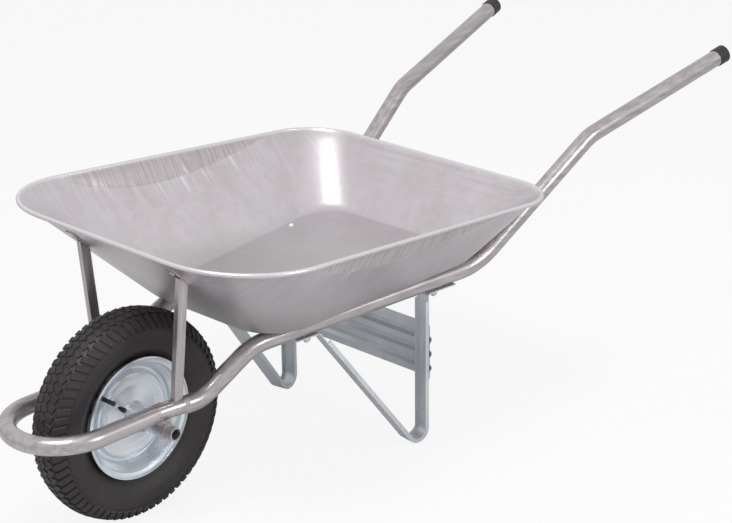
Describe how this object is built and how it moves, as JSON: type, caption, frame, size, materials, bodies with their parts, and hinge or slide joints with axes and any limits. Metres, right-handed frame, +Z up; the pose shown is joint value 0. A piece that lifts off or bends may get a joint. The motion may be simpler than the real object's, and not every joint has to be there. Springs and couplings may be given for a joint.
{
  "type": "wheelbarrow",
  "caption": "Builder's wheelbarrow with a galvanised pressed tray, bent tube frame with splayed handles, folded channel legs and a single pneumatic wheel inside a front hoop.",
  "frame": {"origin": "on the ground, under the middle of the barrow's bounding box", "axes": "+X to the user's left, +Y from the wheel towards the handles, +Z up"},
  "size_m": [0.6758, 1.5724, 0.6268],
  "materials": {
    "galvanised": "galvanised sheet, soft satin with faint spangle",
    "tube": "bright drawn tube, semi-gloss",
    "zinc_plate": "clear blue zinc plating, satin",
    "rim_zinc": "clear blue zinc plating, semi-gloss",
    "fixings": "zinc plated",
    "bush_bronze": "dull, greasy",
    "tyre": "matt rubber",
    "valve_rubber": "matt rubber",
    "cap_plastic": "matt black plastic"
  },
  "bodies": {
    "frame": {"tray": "galvanised", "hoop": "tube", "arm_left": "tube", "arm_right": "tube", "strut_left": "tube", "strut_right": "tube", "axle": "tube", "axle_bracket_left": "tube", "axle_bracket_right": "tube", "axle_spacer_left": "fixings", "axle_spacer_right": "fixings", "leg_left": "zinc_plate", "leg_right": "zinc_plate", "leg_brace": "zinc_plate", "tray_bolts": "fixings", "tray_nuts": "fixings", "tray_washers": "fixings", "strut_rivets": "fixings", "cap_left": "cap_plastic", "cap_right": "cap_plastic"},
    "wheel": {"tyre": "tyre", "inner_tube": "valve_rubber", "rim_left": "rim_zinc", "rim_right": "rim_zinc", "hub": "rim_zinc", "bush_left": "bush_bronze", "bush_right": "bush_bronze", "valve_stem": "valve_rubber", "valve_cap": "valve_rubber"}
  },
  "joints": [
    {"name": "wheel_spin", "type": "hinge", "parent": "frame", "child": "wheel", "pos_m": [0, -0.53968, 0.19], "axis": [1, 0, 0], "continuous": true}
  ]
}
